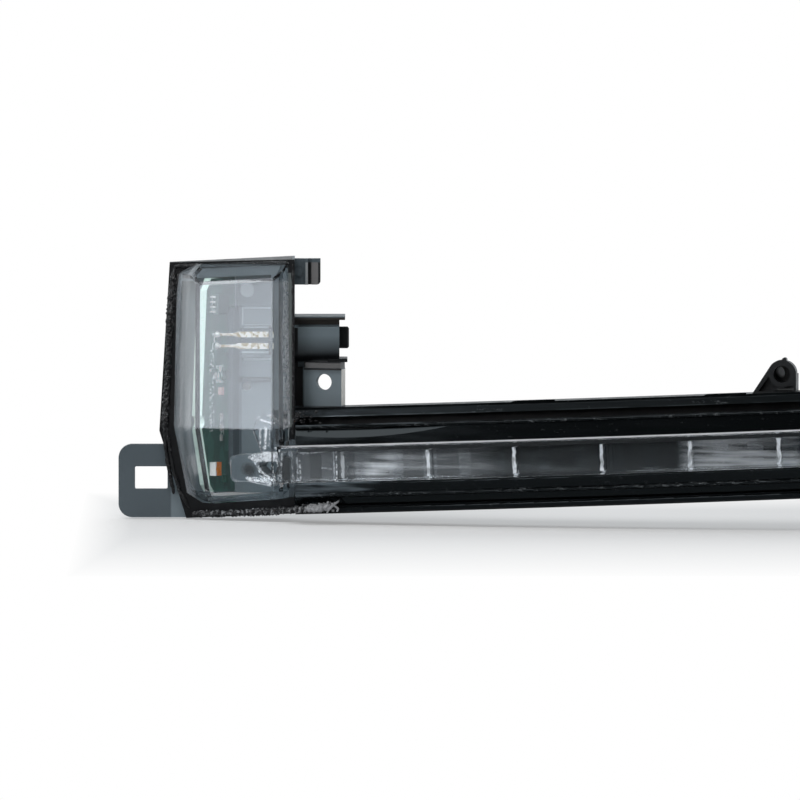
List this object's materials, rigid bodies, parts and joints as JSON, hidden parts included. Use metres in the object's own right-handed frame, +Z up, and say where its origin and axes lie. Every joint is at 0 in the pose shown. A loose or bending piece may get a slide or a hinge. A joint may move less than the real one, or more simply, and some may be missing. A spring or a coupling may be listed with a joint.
{
  "type": "mirror turn signal lamp",
  "caption": "L-shaped mirror turn signal lamp with a faceted clear head, a long lit window bar, a connector shroud and fixing tabs.",
  "frame": {"origin": "centre of the screw tab's hole, on the tab's front face", "axes": "+X along the arm towards its closed end, +Y away from the lens face, +Z up"},
  "size_m": [0.2277, 0.061, 0.0684],
  "materials": {
    "housing_plastic": "moulded black plastic",
    "clear_plastic": "clear moulded plastic",
    "gloss_black_plastic": "polished black plastic",
    "guide_plastic": "clear optical plastic",
    "carrier_plastic": "fine matt black plastic",
    "board_laminate": "green solder mask",
    "white_plastic": "white package plastic",
    "amber_resin": "amber filled resin",
    "chip_black": "black moulded package",
    "tinned_metal": "tinned",
    "capacitor_tan": "ceramic",
    "brass_gold": "bright plated brass",
    "seal_rubber": "dark potting",
    "bead_black": "rough black sealant",
    "vent_grey": "thin vent membrane"
  },
  "bodies": {
    "root": {"housing": "housing_plastic", "clear_lens": "clear_plastic", "black_bezel": "gloss_black_plastic", "light_guide": "guide_plastic", "guide_carrier": "carrier_plastic", "circuit_board": "board_laminate", "led_packages": "white_plastic", "led_windows": "amber_resin", "driver_chip": "chip_black", "driver_leads": "tinned_metal", "chip_resistors": "chip_black", "chip_capacitors": "capacitor_tan", "protection_diode": "chip_black", "terminal_upper": "brass_gold", "terminal_lower": "brass_gold", "solder_joints": "tinned_metal", "terminal_seal": "seal_rubber", "connector_keeper": "carrier_plastic", "sealant_bead": "bead_black", "vent_membrane": "vent_grey"}
  },
  "joints": []
}
